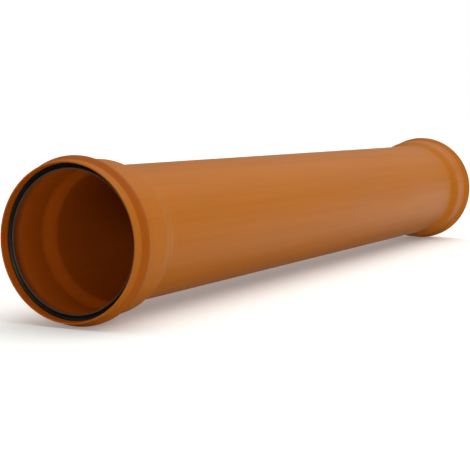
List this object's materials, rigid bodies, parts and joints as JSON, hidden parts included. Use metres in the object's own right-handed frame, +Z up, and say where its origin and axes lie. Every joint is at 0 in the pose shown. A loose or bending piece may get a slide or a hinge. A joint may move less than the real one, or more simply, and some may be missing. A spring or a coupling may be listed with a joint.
{
  "type": "double socket drainage pipe",
  "caption": "Plastic drainage pipe with a ring-seal socket formed at each end. Each socket takes the plain end of another pipe and seals on a rubber ring.",
  "frame": {"origin": "on the pipe's axis, halfway between the two mouths", "axes": "+Y along the pipe, away from the mouth that the picture shows; +Z up; the pipe lies level on the beads of its sockets"},
  "size_m": [0.1294, 0.805, 0.1293],
  "materials": {
    "pvc": "satin golden-brown PVC-U",
    "seal_rubber": "smooth black rubber"
  },
  "bodies": {
    "root": {"pipe": "pvc", "seal_ring_front": "seal_rubber", "seal_ring_back": "seal_rubber"}
  },
  "joints": []
}
